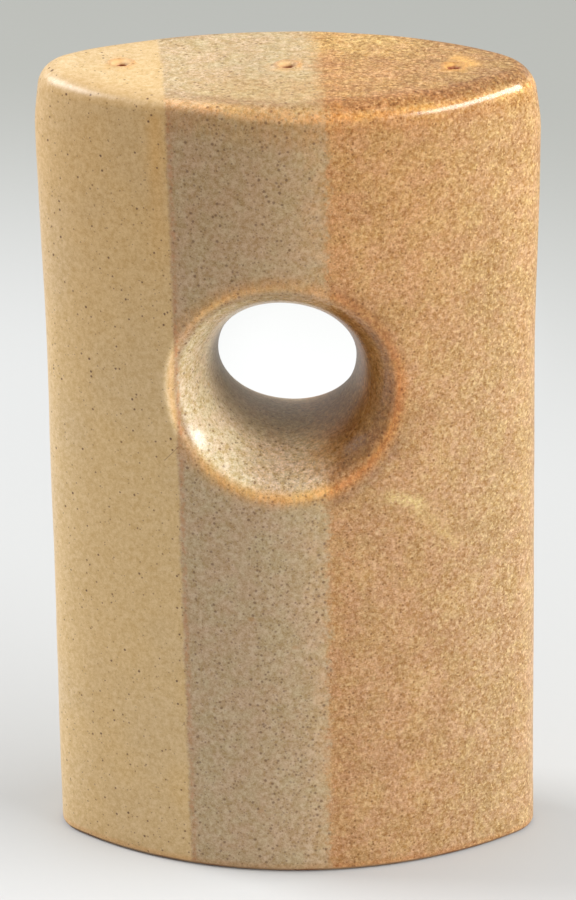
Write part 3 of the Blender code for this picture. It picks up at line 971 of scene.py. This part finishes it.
class Casting:
    """The casting's form, worked out from its sizes and from the CAD solid's box."""

    def __init__(self, sizes):
        self.sizes = sizes
        self.extent = BODY_HIGH - BODY_LOW
        self.height = BODY_HIGH.z
        tunnel = opening_middle("finger_tunnel")
        self.tunnel_height = tunnel.z
        self.throat_middle = tunnel.xz + THROAT_STRAY
        self.waist = self.inset_lens(0, 0, sizes.end_radius)
        self.floor = sizes.foot_recess + sizes.wall

    def inset_lens(self, ends, faces, end_radius):
        """The waist's lens with its ends and its faces moved in."""
        flare = self.sizes.shoulder_flare
        return Lens(self.extent.x - 2 * (flare + ends), self.extent.y - 2 * (flare + faces), end_radius)

    def flare(self, z):
        """How far the wall stands outside the waist at a height."""
        return self.sizes.shoulder_flare * eased(z, self.height - self.sizes.flare_depth, self.height)

    def hole_spots(self):
        """(x, y) of each pouring hole."""
        pitch = self.sizes.pour_pitch
        return [Vector((x, 0)) + Vector(stray) * MM for x, stray in zip((-pitch, 0, pitch), HOLE_STRAYS)]

    def rim_radius(self, place):
        """Rounding of the rim, least along the front and most along the back."""
        sizes = self.sizes
        reach = abs(2 * place.x / self.extent.x)
        if place.y < 0:
            front = sizes.rim_front + (sizes.rim_rust - sizes.rim_front) * eased(place.x, *RIM_CHANGE)
            return front + (sizes.rim_end - front) * reach**4
        return sizes.rim_end + (sizes.rim_back - sizes.rim_end) * max(1 - reach**2, 0) ** 1.25

    def rim_rings(self, skin):
        """Rings over the rim."""
        crown = self.waist.grown(self.sizes.shoulder_flare)
        edge = skin.ring(crown, self.height)
        inner = skin.ring(crown.grown(-MM), self.height)
        rings = []
        for step in range(skin.grain.rim + 1):
            turn = math.pi / 2 * step / skin.grain.rim
            ring = []
            for place, inward in zip(edge, inner):
                outward = (place - inward) / MM
                radius = self.rim_radius(place)
                drop = Vector((0, 0, radius * (1 - math.sin(turn))))
                ring.append(place - outward * radius * (1 - math.cos(turn)) - drop)
            rings.append(ring)
        return rings

    def outside(self):
        """The casting's outside: foot, wall, rim, tunnel and top with its craters."""
        sizes, grain = self.sizes, OUTSIDE_GRAIN
        window = sizes.pour_pitch - HOLE_PATCH
        skin = Skin(self, self.waist, sizes.throat_radius, sizes.lip_radius, window, grain)
        recess = self.inset_lens(sizes.foot_width, sizes.foot_width, RECESS_END_RADIUS)
        foot = sizes.foot_radius
        low_rings = [skin.ring(recess, sizes.foot_recess)]
        for across, up in quarter_arc(FOOT_INNER_EDGE, grain.arc):
            low_rings.append(skin.ring(recess.grown(FOOT_INNER_EDGE - across), FOOT_INNER_EDGE - up))
        for across, up in reversed(quarter_arc(foot, grain.arc)[1:]):
            low_rings.append(skin.ring(self.waist.grown(across - foot), foot - up))
        skin.loft(low_rings, foot, self.height - 1.1 * sizes.rim_back, self.rim_rings(skin))
        Top(skin, self).cap()
        return skin.bm

    def chamber(self):
        """The hollow inside, which wraps round the tunnel's wall."""
        sizes, grain = self.sizes, CHAMBER_GRAIN
        hollow = self.inset_lens(sizes.end_wall, sizes.wall, CHAMBER_END_RADIUS)
        sleeve = sizes.throat_radius + sizes.wall
        lip = sleeve + SLEEVE_FLARE
        skin = Skin(self, hollow, sleeve, lip, lip * SLEEVE_WINDOW, grain)
        arc = quarter_arc(CHAMBER_FILLET, grain.arc)[1:]
        low, high = self.floor + CHAMBER_FILLET, self.height - sizes.wall - CHAMBER_FILLET
        low_rings = [skin.ring(hollow.grown(across - CHAMBER_FILLET), low - up)
                     for across, up in reversed(arc)]
        high_rings = [skin.ring(hollow.grown(self.flare(high) + across - CHAMBER_FILLET), high + up)
                      for across, up in arc]
        skin.loft(low_rings, low, high, high_rings)
        skin.bm.faces.new(skin.loops[-1])
        return skin.bm

    def fill_radius(self, z):
        """Radius of the tapered filling hole at a height."""
        return self.sizes.fill_radius - FILL_TAPER * (z - self.sizes.foot_recess)

    def filling_hole(self):
        """Cutter for the filling hole, with an eased edge at the recess."""
        mouth = self.sizes.foot_recess
        wide = self.fill_radius(mouth) + FILL_EDGE
        profile = [(wide, mouth - CUTTER_MARGIN)]
        for across, up in quarter_arc(FILL_EDGE, 4):
            profile.append((wide - up, mouth + FILL_EDGE - across))
        high = self.floor + CUTTER_MARGIN
        return turned(profile + [(self.fill_radius(high), high)], FILL_STEPS)

    def hand_finish(self, mesh):
        """Moves the mesh a little, as drying and sponging by hand leave a casting."""
        sizes, half = self.sizes, self.extent.x / 2
        normals = [vert.normal.copy() for vert in mesh.vertices]
        for vert, normal in zip(mesh.vertices, normals):
            lift = eased(vert.co.z, *STILL_FOOT)
            slow = noise.noise(vert.co * SLOW_WOBBLE)
            quick = noise.noise(vert.co * QUICK_WOBBLE + Vector((5, 5, 5)))
            vert.co += normal * sizes.wobble * lift * (slow + 0.35 * quick)
            pinch = eased(vert.co.z, self.height - PINCH_DEPTH, self.height)
            pinch *= eased(abs(vert.co.x), PINCH_FROM * half, half)
            vert.co.x -= math.copysign(sizes.end_pinch * pinch, vert.co.x)
            warp = sizes.cream_lift * eased(-vert.co.x, LIFT_FROM * half, half)
            warp *= eased(vert.co.y, LIFT_FRONT, 0)
            warp -= sizes.rust_drop * eased(vert.co.x, DROP_FROM * half, half)
            vert.co.z += warp * (vert.co.z / self.height) ** 2


# Objects

def new_object(name, bm, materials):
    """An object made from the bmesh, which is then freed."""
    mesh = bpy.data.meshes.new(name)
    bm.to_mesh(mesh)
    bm.free()
    for material in materials:
        mesh.materials.append(material)
    obj = bpy.data.objects.new(name, mesh)
    bpy.context.scene.collection.objects.link(obj)
    return obj


def smooth(obj):
    """Shades the object smooth except at sharp edges."""
    obj.data.shade_smooth()
    obj.data.set_sharp_from_angle(angle=SHARP_ANGLE)


def cut_all(obj, cutters, material):
    """Takes the cutters' solids away from obj for good."""
    made = []
    for number, bm in enumerate(cutters):
        cutter = new_object(f"cutter_{number}", bm, [material])
        boolean = obj.modifiers.new(cutter.name, "BOOLEAN")
        boolean.operation = "DIFFERENCE"
        boolean.solver = "MANIFOLD"
        boolean.object = cutter
        boolean.material_mode = "TRANSFER"
        made.append(cutter)
    whole = obj.evaluated_get(bpy.context.evaluated_depsgraph_get())
    mesh = bpy.data.meshes.new_from_object(whole)
    obj.modifiers.clear()
    obj.data = mesh
    for cutter in made:
        bpy.data.objects.remove(cutter)


def cork_mesh(casting):
    """A tapered cork whose faces and sides are pitted as punched bark is."""
    sizes = casting.sizes
    low, high, edge = CORK_LOW.z, CORK_HIGH.z, CORK_EDGE

    def radius(z):
        return casting.fill_radius(z) - sizes.cork_clearance

    def face(z, inward):
        rim = radius(z) - edge
        rings = [(rim * share, z) for share in (0.04, 0.2, 0.35, 0.5, 0.65, 0.8, 0.92)]
        for turn in divided(0, math.pi / 2, 4):
            rings.append((rim + edge * math.sin(turn), z + inward * (edge - edge * math.cos(turn))))
        return rings

    sides = [(radius(z), z) for z in divided(low + edge, high - edge, CORK_RINGS)]
    bm = turned(face(low, 1) + sides + face(high, -1)[::-1], CORK_STEPS)
    bm.normal_update()
    for vert in bm.verts:
        spot = vert.co * TO_MM
        stretched = Vector((spot.x * 0.3, spot.y, spot.z))
        pit = max(noise.noise(stretched * 0.8) - 0.25, 0) * 0.7 + max(noise.noise(spot * 1.9), 0) * 0.15
        vert.co -= vert.normal * pit * MM
    return bm


# Stage

CAMERA_TURN, CAMERA_RISE, CAMERA_ROLL = 2.483, 23.975, -0.905  # degrees
CAMERA_AIM = -0.548 * MM, 0, 54.257 * MM
CAMERA_DISTANCE = 761.1 * MM
CAMERA_LENS, SENSOR_WIDTH = 232.06, 36  # mm
TABLE_GAP = 0.02 * MM  # between foot and table top
BRIGHT_X = -80  # x in mm of the spot that the table top darkens away from
POOL_Y = 164  # y in mm of the middle of the lit pool that shows through the tunnel
POOL_EDGE, POOL_CORE = 37, 10  # mm along x from that middle to where the glow ends and where it is full
POOL_SQUEEZE = 0.5  # along y, which makes the pool twice as long as it is wide
POOL_GLOW = 0.2
FLOOR_RADIUS = 0.05  # of the innermost ring
FLOOR_RINGS, FLOOR_STEPS = 7, 64


def lamp(name, azimuth, elevation, distance, width, height, power, tint):
    """A soft rectangular lamp that faces the middle of the shaker."""
    data = bpy.data.lights.new(name, "AREA")
    data.shape = "RECTANGLE"
    data.size, data.size_y = width, height
    data.energy = power
    data.color = tint
    obj = bpy.data.objects.new(name, data)
    bpy.context.scene.collection.objects.link(obj)
    turn, tilt = math.radians(azimuth), math.radians(elevation)
    away = Vector((math.cos(turn) * math.cos(tilt), math.sin(turn) * math.cos(tilt), math.sin(tilt)))
    obj.location = Vector((0, 0, BODY_HIGH.z / 2)) + away * distance
    obj.rotation_euler = away.to_track_quat("Z", "Y").to_euler()


def photo_camera():
    """The camera at the photograph's place: a long lens, a little above the top and slightly turned."""
    data = bpy.data.cameras.new("camera")
    data.sensor_width = SENSOR_WIDTH
    data.lens = CAMERA_LENS
    data.clip_start = 0.01
    camera = bpy.data.objects.new("camera", data)
    bpy.context.scene.collection.objects.link(camera)
    turn = Matrix.Rotation(math.radians(CAMERA_TURN), 4, "Z")
    tilt = Matrix.Rotation(math.pi / 2 - math.radians(CAMERA_RISE), 4, "X")
    roll = Matrix.Rotation(math.radians(CAMERA_ROLL), 4, "Z")
    back = Matrix.Translation((0, 0, CAMERA_DISTANCE))
    camera.matrix_world = turn @ Matrix.Translation(CAMERA_AIM) @ tilt @ back @ roll
    bpy.context.scene.camera = camera


def table_top(look):
    """A light-coloured table top, darker away from the shaker and behind it, which is a painted fall-off of
    the light, with a glowing patch of painted light behind the tunnel.
    """
    material, shader, start = new_material("table_top")
    place = millimetres(start)
    x, y, _ = place.axes()
    away = (x - BRIGHT_X).reach(y)
    # Painted fall-off of the light: darker away from the shaker and behind it
    fall = away.step(look.near_edge * TO_MM, look.far_edge * TO_MM) * 0.8 + y.step(-25, 5) * 0.2
    grain = place.noise(0.8, 2) * 0.02 - 0.01
    feed(shader, "Base Color", (fall + grain).mix(look.floor, look.floor_far))
    feed(shader, "Roughness", 0.75 + place.noise(0.4, 2) * 0.1)
    path = start.node("LightPath", out="Is Camera Ray")
    seen = path.most(path.also("Is Glossy Ray")).most(path.also("Is Transmission Ray"))
    # A glowing patch of painted light, seen through the tunnel
    pool = x.reach((y - POOL_Y) * POOL_SQUEEZE).step(POOL_EDGE, POOL_CORE) * seen
    shader.inputs["Emission Strength"].default_value = 1
    feed(shader, "Emission Color", pool.mix((0, 0, 0), [POOL_GLOW] * 3))
    return material


def floor_mesh():
    """A wide flat disc in rings, each twice as wide as the one inside it."""
    bm = bmesh.new()
    level = BODY_LOW.z - TABLE_GAP
    rings = [circle(bm, FLOOR_RADIUS * 2**ring, level, FLOOR_STEPS) for ring in range(FLOOR_RINGS)]
    bm.faces.new(rings[0])
    bridge_all(bm, rings[::-1])
    bmesh.ops.recalc_face_normals(bm, faces=bm.faces)
    return bm


def even_sky(look):
    """Even light all round."""
    world = bpy.data.worlds.new("even_sky")
    world.use_nodes = True
    background = world.node_tree.nodes["Background"]
    background.inputs["Color"].default_value = (1, 1, 1, 1)
    background.inputs["Strength"].default_value = look.sky
    bpy.context.scene.world = world


# Operators

class SHAKER_OT_model_casting(bpy.types.Operator):
    """Models the glazed casting with its tunnel, pouring holes, foot and chamber"""

    bl_idname = "shaker.model_casting"
    bl_label = "Model casting"

    def execute(self, context):
        sizes, look = context.scene.shaker_sizes, context.scene.shaker_colours
        casting = Casting(sizes)
        glaze, clay = banded_glaze(casting, look), bare_clay(look)
        body = new_object("glazed_casting", casting.outside(), [glaze, clay])
        cut_all(body, [casting.chamber(), casting.filling_hole()], clay)
        casting.hand_finish(body.data)
        smooth(body)
        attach(body, "shaker")
        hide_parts(BODY_NODE)
        return {"FINISHED"}


class SHAKER_OT_model_cork(bpy.types.Operator):
    """Models the cork that closes the filling hole"""

    bl_idname = "shaker.model_cork"
    bl_label = "Model cork"

    def execute(self, context):
        casting = Casting(context.scene.shaker_sizes)
        cork = new_object("tapered_cork", cork_mesh(casting), [cork_bark(context.scene.shaker_colours)])
        smooth(cork)
        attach(cork, "stopper")
        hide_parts(CORK_NODE)
        return {"FINISHED"}


class SHAKER_OT_set_stage(bpy.types.Operator):
    """Sets up the table top, the lamps and the camera"""

    bl_idname = "shaker.set_stage"
    bl_label = "Set stage"

    def execute(self, context):
        look = context.scene.shaker_stage
        floor = new_object("table_top", floor_mesh(), [table_top(look)])
        lamp("right_softbox", azimuth=-14, elevation=28, distance=0.8, width=0.9, height=0.2,
             power=look.right_power, tint=(0.99, 1, 1))
        lamp("left_softbox", azimuth=164, elevation=36, distance=0.8, width=0.32, height=0.26,
             power=look.left_power, tint=(0.99, 0.99, 1))
        even_sky(look)
        photo_camera()
        context.scene.view_settings.view_transform = "Standard"
        return {"FINISHED"}


class VIEW3D_PT_shaker(bpy.types.Panel):
    """Sidebar panel with the shaker's sizes, colours and steps"""

    bl_label = "Pepper shaker"
    bl_space_type = "VIEW_3D"
    bl_region_type = "UI"
    bl_category = "Shaker"

    def draw(self, context):
        for operator in OPERATORS:
            self.layout.operator(operator.bl_idname)
        for name in SETTINGS:
            group = getattr(context.scene, name)
            box = self.layout.box()
            box.label(text=group.bl_rna.description)
            for field in group.__annotations__:
                box.prop(group, field)


OPERATORS = (SHAKER_OT_model_casting, SHAKER_OT_model_cork, SHAKER_OT_set_stage)
SETTINGS = {"shaker_sizes": ShakerSizes, "shaker_colours": GlazeColours, "shaker_stage": StageLook}
CLASSES = (*SETTINGS.values(), *OPERATORS, VIEW3D_PT_shaker)


def register():
    for made in CLASSES:
        bpy.utils.register_class(made)
    for name, group in SETTINGS.items():
        setattr(bpy.types.Scene, name, PointerProperty(type=group))


def unregister():
    for name in SETTINGS:
        delattr(bpy.types.Scene, name)
    for made in reversed(CLASSES):
        bpy.utils.unregister_class(made)


def main():
    """Models every piece in order."""
    register()
    bpy.ops.shaker.model_casting()
    bpy.ops.shaker.model_cork()
    bpy.ops.shaker.set_stage()


if __name__ == "__main__":
    main()
